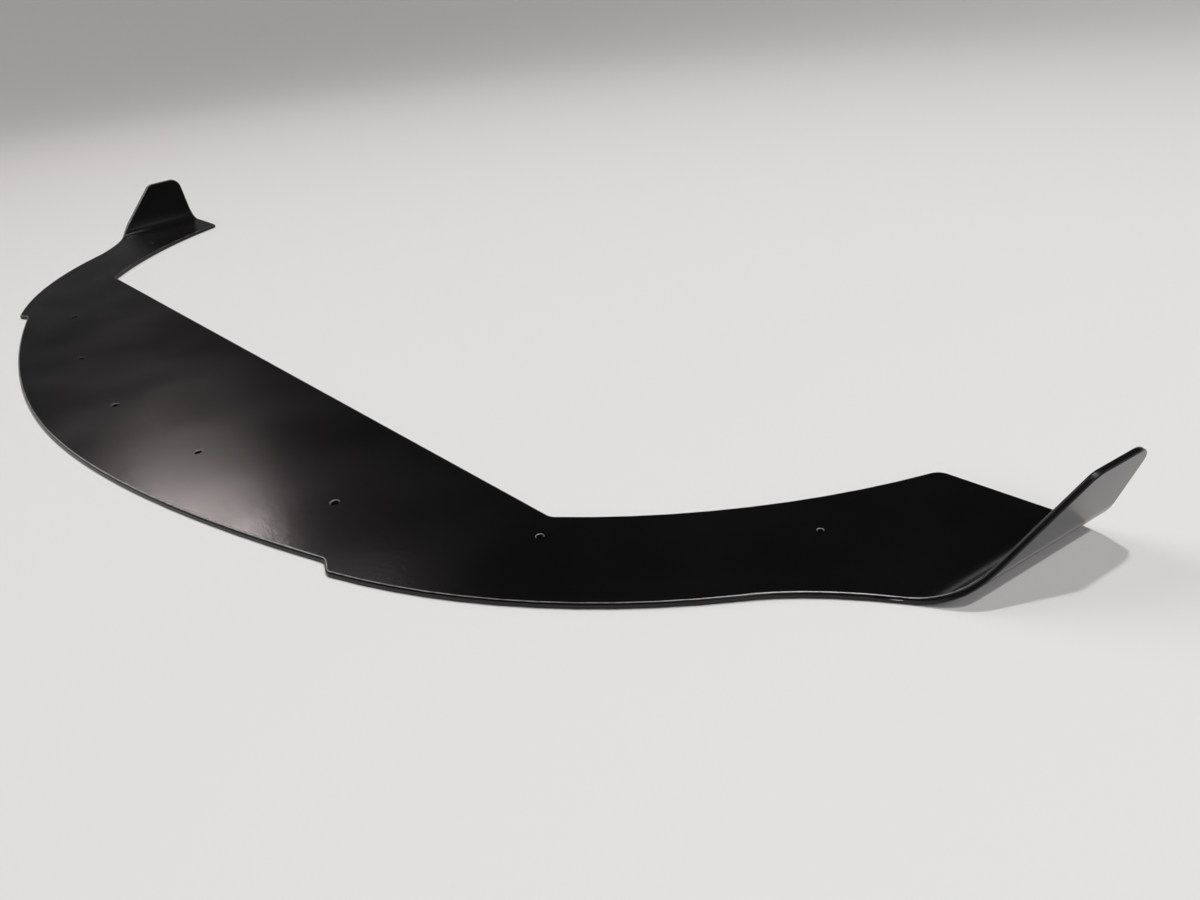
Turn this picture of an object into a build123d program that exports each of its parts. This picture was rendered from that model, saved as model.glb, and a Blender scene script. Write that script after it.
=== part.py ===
"""Front splitter lip: one black ABS sheet, cut to outline, drilled, with both ends heat-formed upward.

Millimetres, +Z up. The bumper side is +Y and the leading edge is -Y.
The underside lies on Z = 0 and the part is centred on X = 0 and on its own depth.
"""
import os
from math import cos, radians, sin

from build123d import *

# Sheet and cut edges
SHEET = 5.0                 # thickness of the sheet
EDGE_ROUND = 2.0            # round-over along the upper cut edge
EDGE_BREAK = 0.8            # broken lower cut edge
CORNER_R = 12.0             # corners of the arms
NOTCH_R = 9.0               # corners of the notches

# Outline seen from above, right half
DEPTH = 469.0               # leading edge on the centre line to the ends of the arms
ARM_REACH = 237.5           # how far the arms run back past the straight rear edge
BAY_HALF = 537.0            # half length of the rear edge
ARM_WIDTH = 90.0            # end of an arm, from its inner corner to the bend line
ARM_INNER_R = 616.0         # hollow inner edge of an arm
NOSE_HALF = 448.5           # half width of the leading edge
NOSE_END_AHEAD = 147.0      # end of the leading edge, ahead of the rear edge
NOSE_HEADING = 19.0         # direction of the leading edge there, degrees from X
NOSE_PULL = 150.0           # fullness of the leading edge
NOTCH_WIDTH = 16.0          # from the end of the leading edge out to the corner of the wing
NOTCH_STEP = 7.0            # how far that corner stands ahead
WING_R = 571.0              # bulged wing edge
FLARE_WIDTH = 79.5          # hollow stretch from the wing out to the fin
FLARE_DEPTH = 65.0          # how far it runs back
FLARE_HEADING = 30.9        # direction in which it meets the fin

# Upturned fin; its front edge is placed ahead of the end of the arm, along the bend
BEND_X = 815.0              # bend line at the end of the arm
BEND_TOE = 9.7              # bend line turned outward to the rear, degrees
BEND_R = 31.0               # radius on the upper face
BEND_ANGLE = 72.7           # turn of the sheet, degrees
FLANGE = 53.5               # flat height above the bend
FIN_FOOT = 156.0            # front edge on the bend line
FIN_TOP = 52.0              # front edge at the top of the fin
FIN_R = 16.0                # upper corners of the fin

# Fixing holes
BOLT_HOLE = 7.0             # bolts behind the leading edge
BOLT_INSET = 69.5           # bolts on the centre line and midway, in from the leading edge
NOTCH_BOLT_INSET = 64.0     # bolts beside the notches, in from the leading edge
NOTCH_BOLT_RUN = 51.0       # the same bolts, along the leading edge from its end
ROOT_HOLE = 5.5             # screws at the roots of the arms
ROOT_OUT = 15.0             # beyond the end of the rear edge
ROOT_AHEAD = 23.0           # ahead of the rear edge
ARM_HOLE = 4.0              # screws along the arms
ARM_HOLE_RUN = 115.0        # along the inner edge from the end of the arm
ARM_HOLE_INSET = 43.0       # in from the inner edge
HOLE_BREAK = 0.6            # broken upper rim of each hole

EDGE_STEPS = 4              # sections that carry the fin's front edge round the bend
LEAST_LEAN = 0.01           # least upward or downward part of the normal on a broad face

UP = Vector(0, 0, 1)
ARM_Y = DEPTH / 2
REAR_Y = ARM_Y - ARM_REACH


def heading(angle):
    """Horizontal direction at an angle from +X."""
    return Vector(cos(radians(angle)), sin(radians(angle)), 0)


# The bend line on the underside, the directions along and across it, and the bend axis above it
along = heading(90 - BEND_TOE)
outward = heading(-BEND_TOE)
bend_foot = Vector(BEND_X, ARM_Y, 0)
bend_axis = Axis(bend_foot + UP * (SHEET + BEND_R), along * -1)
bend_run = BEND_R * radians(BEND_ANGLE)
fin_foot = bend_foot - along * FIN_FOOT

# Front of the outline: leading edge, notch, wing and flare, from the centre line to the bend line
with BuildLine() as front:
    apex = Vector(0, -DEPTH / 2)
    nose_end = Vector(NOSE_HALF, REAR_Y - NOSE_END_AHEAD)
    wing_corner = nose_end + Vector(NOTCH_WIDTH, -NOTCH_STEP)
    flare_start = fin_foot - Vector(FLARE_WIDTH, FLARE_DEPTH)
    nose = Bezier(
        apex,
        apex + heading(0) * NOSE_PULL,
        nose_end - heading(NOSE_HEADING) * NOSE_PULL,
        nose_end,
    )
    Line(nose_end, wing_corner)
    wing = RadiusArc(wing_corner, flare_start, -WING_R)
    flare = Spline(flare_start, fin_foot, tangents=(wing % 1, heading(FLARE_HEADING)))

# Back of the outline: end of the arm, its inner edge and the rear edge
with BuildLine() as back:
    arm_corner = bend_foot - Vector(ARM_WIDTH, 0)
    bay_corner = Vector(BAY_HALF, REAR_Y)
    Line(bend_foot, arm_corner)
    inner_edge = RadiusArc(arm_corner, bay_corner, ARM_INNER_R)
    Line(bay_corner, (0, REAR_Y))


def set_in(edge, run, inset):
    """Point in from an edge of the outline, after a run along that edge."""
    square = edge.tangent_at(run, position_mode=PositionMode.LENGTH).rotate(Axis.Z, 90)
    return edge.position_at(run, position_mode=PositionMode.LENGTH) + square * inset


notch_bolt_at = nose.length - NOTCH_BOLT_RUN
paired_holes = (
    (set_in(nose, notch_bolt_at / 2, BOLT_INSET), BOLT_HOLE),
    (set_in(nose, notch_bolt_at, NOTCH_BOLT_INSET), BOLT_HOLE),
    (bay_corner + Vector(ROOT_OUT, -ROOT_AHEAD), ROOT_HOLE),
    (set_in(inner_edge, ARM_HOLE_RUN, ARM_HOLE_INSET), ARM_HOLE),
)

# Slope of the fin's front edge on the flat sheet: where it meets the bend, and beyond the bend
foot_slope = (flare % 1).dot(along) / (flare % 1).dot(outward)
fin_slope = (FIN_FOOT - FIN_TOP - foot_slope * bend_run / 2) / (FLANGE + bend_run / 2)


def front_on_bend(part):
    """Place of the upper front edge along the bend, after a part of the full turn."""
    return bend_run * part * (foot_slope + (fin_slope - foot_slope) * part / 2) - FIN_FOOT


def lower_lag(part):
    """How far the lower front edge lies behind the upper one there, so that both meet the flats in line."""
    longer_run = SHEET * radians(BEND_ANGLE)
    return longer_run * part * (1 - part) * (foot_slope * (1 - part) - fin_slope * part)


def across_sheet(angle):
    """Plane square to the sheet where it has turned by an angle: X along the bend, Y towards its axis."""
    run = outward * cos(radians(angle)) + UP * sin(radians(angle))
    return Plane(bend_axis.position, x_dir=along, z_dir=run)


# Waste ahead of the front edge on the bend, reaching one sheet past the upper and the lower face
above = SHEET - BEND_R
below = -BEND_R - 2 * SHEET
with BuildPart() as bend_waste:
    for step in range(-1, EDGE_STEPS + 2):
        part = step / EDGE_STEPS
        place = front_on_bend(part)
        lag = lower_lag(part)
        with BuildSketch(across_sheet(BEND_ANGLE * part)):
            with BuildLine():
                Polyline(
                    (place - lag, above),
                    (place + 2 * lag, below),
                    (place - DEPTH, below),
                    (place - DEPTH, above),
                    close=True,
                )
            make_face()
    loft()

# Formed end: the bend, then the flat flange, trimmed in line with the end of the arm
with BuildPart() as fin:
    with BuildSketch(across_sheet(0)):
        with Locations((0, -BEND_R - SHEET / 2)):
            Rectangle(2 * DEPTH, SHEET)
    revolve(axis=bend_axis, revolution_arc=BEND_ANGLE)
    add(bend_waste.part, mode=Mode.SUBTRACT)
    bend_end = across_sheet(BEND_ANGLE)
    flange_foot = bend_end.origin - bend_end.y_dir * BEND_R
    with BuildSketch(Plane(flange_foot, x_dir=along, z_dir=bend_end.y_dir * -1)):
        with BuildLine():
            Polyline((front_on_bend(1), 0), (-FIN_TOP, FLANGE), (DEPTH, FLANGE), (DEPTH, 0), close=True)
        make_face()
    extrude(amount=SHEET)
    split(bisect_by=Plane(bend_foot, z_dir=(0, 1, 0)), keep=Keep.BOTTOM)
    fin_top = fin.faces().sort_by(Axis(bend_foot, bend_end.z_dir))[-1]
    fillet(fin_top.edges().sort_by(SortBy.LENGTH)[:2], FIN_R)


def outer_rim(sheet, side):
    """Rim of the sheet on one side, where its broad faces are the plate, the bends and the flanges."""
    broad = sheet.faces().filter_by(lambda face: face.area > DEPTH * SHEET)
    faces = broad.filter_by(lambda face: face.normal_at().dot(side) > LEAST_LEAN)
    edges = [edge for face in faces for edge in face.edges()]
    return [edge for edge in edges if edges.count(edge) == 1]


with BuildPart() as splitter_lip:
    with BuildSketch(Plane.XY) as outline:
        with BuildLine():
            add(front.line)
            Line(fin_foot, bend_foot)
            add(back.line)
            Line((0, REAR_Y), apex)
        make_face()
        for radius, corners in ((NOTCH_R, (nose_end, wing_corner)), (CORNER_R, (arm_corner, bay_corner))):
            fillet([outline.vertices().sort_by_distance(corner)[0] for corner in corners], radius)
    extrude(amount=SHEET)
    add(fin.part)
    mirror(about=Plane.YZ)

    fillet(outer_rim(splitter_lip, UP), EDGE_ROUND)
    chamfer(outer_rim(splitter_lip, UP * -1), EDGE_BREAK)

    with Locations((0, apex.Y + BOLT_INSET, SHEET)):
        CounterSinkHole(BOLT_HOLE / 2, BOLT_HOLE / 2 + HOLE_BREAK, counter_sink_angle=90)
    for place, diameter in paired_holes:
        with Locations((place.X, place.Y, SHEET), (-place.X, place.Y, SHEET)):
            CounterSinkHole(diameter / 2, diameter / 2 + HOLE_BREAK, counter_sink_angle=90)

os.makedirs("parts", exist_ok=True)
splitter_lip.part.label = "splitter_lip"
export_step(splitter_lip.part, "parts/splitter_lip.step")
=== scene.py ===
"""Looks of the front splitter lip: grained black ABS sheet on a pale studio floor."""
from math import cos, radians, sin

import bpy
from mathutils import Matrix, Vector

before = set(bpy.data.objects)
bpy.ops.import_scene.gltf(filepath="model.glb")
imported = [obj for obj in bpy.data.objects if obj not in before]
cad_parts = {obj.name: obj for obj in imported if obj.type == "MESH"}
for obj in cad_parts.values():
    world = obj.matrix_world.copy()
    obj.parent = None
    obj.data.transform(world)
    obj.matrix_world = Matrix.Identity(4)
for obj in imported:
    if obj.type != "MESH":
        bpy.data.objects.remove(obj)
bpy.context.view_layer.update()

# Camera: place in metres, direction in degrees; the image is taken as 1200 by 900
CAMERA_AT = Vector((1.01366, -0.34308, 0.37747))
CAMERA_YAW = -50.275
CAMERA_DOWN = 28.702
CAMERA_ROLL = -6.021
CAMERA_NEAREST = 0.01
IMAGE_WIDTH = 1200
FOCAL_PIXELS = 900
SENSOR = 36.0

# Floor: flat in the middle, with a rim that rises gently out of sight
FLOOR_FLAT_R = 3.0
FLOOR_RIM_R = 6.0
FLOOR_RIM_RISE = 0.6
FLOOR_RINGS = 24
FLOOR_SIDES = 96

# Floor paint: pale round the object, dimmed beyond it by painted shade
FLOOR_MIDDLE = (0.45, 0.1, 0.0)
FLOOR_SHADE_REACH = (0.5, 5.0)
FLOOR_PALE = (0.80, 0.79, 0.78, 1)
FLOOR_PAINTED_SHADE = (0.52, 0.51, 0.50, 1)
FLOOR_ROUGHNESS = 0.7

# Light from the room: levels by elevation in degrees, then wide soft glows
SKY = ((0, 0.36), (3.5, 0.33), (8, 0.14), (12, 0.035), (16, 0.012))
# Glows: compass bearing from +Y to +X, elevation, inner and outer radius in degrees, and level
GLOWS = (
    (95, 42, 12, 26, 2.4),
    (-104, 42, 10, 24, 2.1),
)

# Lamps: name, target, bearing, elevation, distance, size and power, then any roll and colour
LAMPS = (
    ("ceiling_back", (0.86, 0.2, 0.05), -27, 79, 7.0, (0.34, 0.34), 158.0),
    ("ceiling_right", (0.86, 0.2, 0.05), 74, 68, 7.0, (0.34, 0.34), 150.0),
    ("strip", (0.32, -0.2, 0), -77.6, 28.8, 3.5, (0.50, 0.13), 3.8, -20, (1.0, 0.87, 0.87)),
    ("strip_dim", (0.42, -0.2, 0), -69.0, 39.5, 3.5, (0.40, 0.30), 1.1, 0, (1.0, 0.9, 0.9)),
)

# Bends of the sheet, on the right half, in metres and degrees
BEND_FOOT = (0.815, 0.2345)     # bend line at the end of the arm, from above
BEND_TOE = 9.7                  # the same line, turned outward to the rear
BEND_HEIGHT = 0.036             # bend axis above the floor
BEND_ANGLE = 72.7               # turn of the sheet

# Faces of the sheet, by how far they face its grained side: 1 on that side, 0 on the cut edges
GRAINED_FACING = (0.975, 0.995)
RIM_FACING = (0.78, 0.9)
CUT_FACING = (0.6, 0.3)

# Bumps, in metres, with the detail of their noise
GRAIN_CELL = (0.0048, 0.0034, 0.0034)   # haircell grain of the upper side
GRAIN_RISE = 0.00006
GRAIN_DETAIL = 1.5
GRAIN_DISTORTION = 0.2
PEEL_WIDTH = 0.0012             # faint ripple of every face
PEEL_RISE = 0.000003
PEEL_DETAIL = 2.0
WAVE_LENGTH = 0.22              # slight unevenness of the whole sheet
WAVE_RISE = 0.0001
WAVE_DETAIL = 1.0

# Fixing holes on the right half, from above, and the reach that covers each one with its rim
HOLES = (
    (0, -0.165),
    (0.19022, -0.14686),
    (0.38086, -0.10491),
    (0.552, -0.026),
    (0.70379, 0.10998),
)
HOLE_REACH = 0.006

# Painted highlight: how strongly it is painted on the upper rim, in patches, and on the rims of the
# holes
HIGHLIGHT_PATCH_LENGTH = 0.006
HIGHLIGHT_PATCH_DETAIL = 3.0
HIGHLIGHT_PATCH_NOISE = (0.25, 0.75)
RIM_PAINTED_HIGHLIGHT = (0.257, 0.571)
HOLE_RIM_Z = (0.0046, 0.0048)   # heights between which a highlight is painted on the rims of the holes
HOLE_HIGHLIGHT_X = (-0.25, 0.10)     # stretch along X over which their painted highlight grows
HOLE_PAINTED_HIGHLIGHT = (0.2, 1.0)

# Colour and gloss
CLOUD_LENGTH = 0.12             # slight cloudiness
CLOUD_DETAIL = 4.0
CLOUD_NOISE = (0.3, 0.7)
ABS_DARK = (0.0030, 0.0029, 0.0027, 1)
ABS_LIGHT = (0.0040, 0.0039, 0.0036, 1)
# Pale colour of the painted highlight on the upper rim and on the holes' rims
ABS_PAINTED_HIGHLIGHT = (0.42, 0.4025, 0.385, 1)
ABS_IOR = 1.5
ROUGHNESS = (0.18, 0.22)
RIM_ROUGHER = 0.175
CUT_ROUGHER = 0.12
SPECULAR = 0.5
CUT_DULLER = 0.14
BORE_DULLER = 0.31              # in the holes, on top of that


def make_camera():
    """The photograph's camera, set by its place, heading, dip and roll."""
    yaw, down, roll = radians(CAMERA_YAW), radians(CAMERA_DOWN), radians(CAMERA_ROLL)
    forward = Vector((sin(yaw) * cos(down), cos(yaw) * cos(down), -sin(down)))
    level = Vector((cos(yaw), -sin(yaw), 0))
    raised = level.cross(forward)
    right = level * cos(roll) + raised * sin(roll)
    upward = raised * cos(roll) - level * sin(roll)
    data = bpy.data.cameras.new("camera")
    data.sensor_width = SENSOR
    data.lens = SENSOR * FOCAL_PIXELS / IMAGE_WIDTH
    data.clip_start = CAMERA_NEAREST
    camera = bpy.data.objects.new("camera", data)
    turn = Matrix((right, upward, -forward)).transposed()
    camera.matrix_world = Matrix.Translation(CAMERA_AT) @ turn.to_4x4()
    bpy.context.scene.collection.objects.link(camera)
    bpy.context.scene.camera = camera


def set_inputs(tree, node, inputs):
    """Set each input of a node to a value, or link it to another node's output."""
    for name, value in inputs.items():
        if isinstance(value, bpy.types.NodeSocket):
            tree.links.new(value, node.inputs[name])
        else:
            node.inputs[name].default_value = value


def new_node(tree, kind, inputs, **settings):
    """Shader node with its settings and inputs."""
    node = tree.nodes.new(kind)
    for name, value in settings.items():
        setattr(node, name, value)
    set_inputs(tree, node, inputs)
    return node


def math(tree, operation, *values):
    node = new_node(tree, "ShaderNodeMath", dict(enumerate(values)), operation=operation)
    return node.outputs[0]


def vector_math(tree, operation, *values, output="Vector"):
    node = new_node(tree, "ShaderNodeVectorMath", dict(enumerate(values)), operation=operation)
    return node.outputs[output]


def axes(tree, vector):
    """X, Y and Z of a vector."""
    return new_node(tree, "ShaderNodeSeparateXYZ", {0: vector}).outputs


def product(tree, first, *others):
    for other in others:
        first = math(tree, "MULTIPLY", first, other)
    return first


def spread(tree, value, low, high, to_low=0.0, to_high=1.0):
    """A value eased from one range into another."""
    inputs = {"Value": value, "From Min": low, "From Max": high, "To Min": to_low, "To Max": to_high}
    return new_node(tree, "ShaderNodeMapRange", inputs, interpolation_type="SMOOTHSTEP").outputs[0]


def noise(tree, place, size, detail, distortion=0.0):
    """Soft noise whose features are about the given size, in metres."""
    inputs = {"Vector": place, "Scale": 1 / size, "Detail": detail, "Distortion": distortion}
    return new_node(tree, "ShaderNodeTexNoise", inputs).outputs["Fac"]


def mix(tree, factor, low, high):
    """A colour between two others."""
    inputs = {"Factor": factor, "A": low, "B": high}
    return new_node(tree, "ShaderNodeMix", inputs, data_type="RGBA").outputs["Result"]


def new_material(name):
    """Material with its node tree and the place on the object that it is seen at."""
    material = bpy.data.materials.new(name)
    material.use_nodes = True
    tree = material.node_tree
    return material, tree, new_node(tree, "ShaderNodeTexCoord", {}).outputs["Object"]


def make_floor():
    """Pale round floor, its colour dimmed away from the object as painted shade."""
    verts, faces = [], []
    for ring in range(FLOOR_RINGS + 1):
        radius = FLOOR_RIM_R * ring / FLOOR_RINGS
        past = max(0.0, (radius - FLOOR_FLAT_R) / (FLOOR_RIM_R - FLOOR_FLAT_R))
        for side in range(FLOOR_SIDES):
            angle = radians(360 * side / FLOOR_SIDES)
            verts.append((radius * cos(angle), radius * sin(angle), FLOOR_RIM_RISE * past ** 2))
    for ring in range(FLOOR_RINGS):
        for side in range(FLOOR_SIDES):
            a = ring * FLOOR_SIDES + side
            b = ring * FLOOR_SIDES + (side + 1) % FLOOR_SIDES
            faces.append((a, a + FLOOR_SIDES, b + FLOOR_SIDES, b))
    mesh = bpy.data.meshes.new("floor")
    mesh.from_pydata(verts, [], faces)
    mesh.shade_smooth()
    floor = bpy.data.objects.new("floor", mesh)
    bpy.context.scene.collection.objects.link(floor)
    material, tree, place = new_material("floor_paint_and_painted_shade")
    away = vector_math(tree, "DISTANCE", place, FLOOR_MIDDLE, output="Value")
    # Painted shade: the floor's colour fades to a dimmer one away from the object
    paint_and_shade = mix(tree, spread(tree, away, *FLOOR_SHADE_REACH), FLOOR_PALE, FLOOR_PAINTED_SHADE)
    shader = tree.nodes["Principled BSDF"]
    set_inputs(tree, shader, {"Base Color": paint_and_shade, "Roughness": FLOOR_ROUGHNESS})
    mesh.materials.append(material)


def direction(bearing, elevation):
    """Unit vector at a compass bearing and an elevation, in degrees."""
    turn, rise = radians(bearing), radians(elevation)
    return Vector((sin(turn) * cos(rise), cos(turn) * cos(rise), sin(rise)))


def make_lamp(name, target, bearing, elevation, distance, size, power, roll=0, colour=(1, 1, 1)):
    """Area lamp that looks at a target from a bearing and an elevation."""
    back = direction(bearing, elevation)
    data = bpy.data.lights.new(name, "AREA")
    data.shape = "RECTANGLE"
    data.size, data.size_y = size
    data.energy = power
    data.color = colour
    lamp = bpy.data.objects.new(name, data)
    facing = back.to_track_quat("Z", "Y").to_matrix().to_4x4() @ Matrix.Rotation(radians(roll), 4, "Z")
    lamp.matrix_world = Matrix.Translation(Vector(target) + back * distance) @ facing
    lamp.visible_camera = False
    bpy.context.scene.collection.objects.link(lamp)


def make_world():
    """Dim room with a pale horizon and wide soft glows."""
    world = bpy.data.worlds.new("studio")
    bpy.context.scene.world = world
    world.use_nodes = True
    tree = world.node_tree
    way = new_node(tree, "ShaderNodeTexCoord", {}).outputs["Generated"]
    ramp = new_node(tree, "ShaderNodeValToRGB", {"Fac": axes(tree, way)["Z"]})
    stops = ramp.color_ramp.elements
    while len(stops) < len(SKY):
        stops.new(1.0)
    for stop, (elevation, level) in zip(stops, SKY):
        stop.position = sin(radians(elevation))
        stop.color = (level, level, level, 1)
    light = ramp.outputs["Color"]
    for bearing, elevation, inner, outer, level in GLOWS:
        middle = direction(bearing, elevation)
        towards = vector_math(tree, "DOT_PRODUCT", way, middle, output="Value")
        glow = spread(tree, towards, cos(radians(outer)), cos(radians(inner)), 0.0, level)
        light = math(tree, "ADD", light, glow)
    set_inputs(tree, tree.nodes["Background"], {"Color": light})


def mirrored(tree, vector, side):
    """A vector on either half, as it would be on the right half."""
    x, y, z = axes(tree, vector)
    inputs = {0: math(tree, "MULTIPLY", x, side), 1: y, 2: z}
    return new_node(tree, "ShaderNodeCombineXYZ", inputs).outputs[0]


def facing_up(tree, place):
    """How far a face looks to the grained side: 1 on that side, 0 on the cut edges, -1 below."""
    toe = radians(BEND_TOE)
    outward = (cos(toe), -sin(toe), 0)
    side = math(tree, "SIGN", axes(tree, place)["X"])
    bend_axis = (*BEND_FOOT, BEND_HEIGHT)
    from_axis = vector_math(tree, "SUBTRACT", mirrored(tree, place, side), bend_axis)
    run = vector_math(tree, "DOT_PRODUCT", from_axis, outward, output="Value")
    drop = vector_math(tree, "DOT_PRODUCT", from_axis, (0, 0, -1), output="Value")
    inputs = {"Value": math(tree, "ARCTAN2", run, drop), "Max": radians(BEND_ANGLE)}
    turn = new_node(tree, "ShaderNodeClamp", inputs).outputs[0]
    normal = mirrored(tree, new_node(tree, "ShaderNodeNewGeometry", {}).outputs["Normal"], side)
    across = vector_math(tree, "DOT_PRODUCT", normal, outward, output="Value")
    upward = vector_math(tree, "DOT_PRODUCT", normal, (0, 0, 1), output="Value")
    return math(
        tree, "SUBTRACT",
        product(tree, upward, math(tree, "COSINE", turn)),
        product(tree, across, math(tree, "SINE", turn)),
    )


def hole_mask(tree, place):
    """1 in the fixing holes and on their broken rims, 0 elsewhere."""
    x, y, _ = axes(tree, place)
    plan = new_node(tree, "ShaderNodeCombineXYZ", {0: math(tree, "ABSOLUTE", x), 1: y}).outputs[0]
    away = [vector_math(tree, "DISTANCE", plan, (*hole, 0), output="Value") for hole in HOLES]
    nearest = away[0]
    for other in away[1:]:
        nearest = math(tree, "MINIMUM", nearest, other)
    return math(tree, "LESS_THAN", nearest, HOLE_REACH)


def painted_highlight(tree, place, facing, grained, holes):
    """How strongly a highlight is painted on a place: the top of the round-over, in patches, and the
    holes' rims.
    """
    not_grained = math(tree, "SUBTRACT", 1.0, grained)
    # Painted highlight along the top of the round-over, in patches
    patches = spread(tree, noise(tree, place, HIGHLIGHT_PATCH_LENGTH, HIGHLIGHT_PATCH_DETAIL), *HIGHLIGHT_PATCH_NOISE, *RIM_PAINTED_HIGHLIGHT)
    painted_rim = product(tree, spread(tree, facing, *RIM_FACING), not_grained, patches)
    x, _, z = axes(tree, place)
    # Painted highlight on the holes' upper rims, stronger towards +X
    hole_highlight = product(tree, spread(tree, x, *HOLE_HIGHLIGHT_X, *HOLE_PAINTED_HIGHLIGHT), spread(tree, z, *HOLE_RIM_Z))
    return math(tree, "MAXIMUM", painted_rim, product(tree, holes, not_grained, hole_highlight))


def bumped(tree, place, grained):
    """Surface normal with the sheet's unevenness, the ripple of its faces and then the grain."""
    cells = vector_math(tree, "DIVIDE", place, GRAIN_CELL)
    grain = noise(tree, cells, 1.0, GRAIN_DETAIL, GRAIN_DISTORTION)
    normal = {}
    for height, rise in (
        (noise(tree, place, WAVE_LENGTH, WAVE_DETAIL), WAVE_RISE),
        (noise(tree, place, PEEL_WIDTH, PEEL_DETAIL), PEEL_RISE),
        (product(tree, grain, grained), GRAIN_RISE),
    ):
        bump = new_node(tree, "ShaderNodeBump", {"Height": height, "Distance": rise, **normal})
        normal = {"Normal": bump.outputs["Normal"]}
    return normal["Normal"]


def make_abs():
    """Black ABS sheet: grained above, smooth below, cloudy, with duller edges, rougher upper rims and
    a highlight painted on them and on the holes' rims.
    """
    material, tree, place = new_material("abs_sheet")
    facing = facing_up(tree, place)
    grained = spread(tree, facing, *GRAINED_FACING)
    cut = spread(tree, math(tree, "ABSOLUTE", facing), *CUT_FACING)
    holes = hole_mask(tree, place)
    painted_rim = painted_highlight(tree, place, facing, grained, holes)
    cloud = noise(tree, place, CLOUD_LENGTH, CLOUD_DETAIL)
    tone = mix(tree, spread(tree, cloud, *CLOUD_NOISE), ABS_DARK, ABS_LIGHT)
    roughness = spread(tree, cloud, *CLOUD_NOISE, *ROUGHNESS)
    roughness = math(tree, "MULTIPLY_ADD", painted_rim, RIM_ROUGHER, roughness)
    roughness = math(tree, "MULTIPLY_ADD", cut, CUT_ROUGHER, roughness)
    duller = product(tree, cut, math(tree, "MULTIPLY_ADD", holes, BORE_DULLER, CUT_DULLER))
    set_inputs(tree, tree.nodes["Principled BSDF"], {
        # The base colour turns pale where a highlight is painted
        "Base Color": mix(tree, painted_rim, tone, ABS_PAINTED_HIGHLIGHT),
        "Roughness": roughness,
        "Specular IOR Level": math(tree, "SUBTRACT", SPECULAR, duller),
        "IOR": ABS_IOR,
        "Normal": bumped(tree, place, grained),
    })
    return material


make_camera()
make_floor()
make_world()
for lamp in LAMPS:
    make_lamp(*lamp)

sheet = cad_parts["splitter_lip"]
sheet.data.materials.clear()
sheet.data.materials.append(make_abs())

bpy.context.scene.view_settings.view_transform = "Standard"
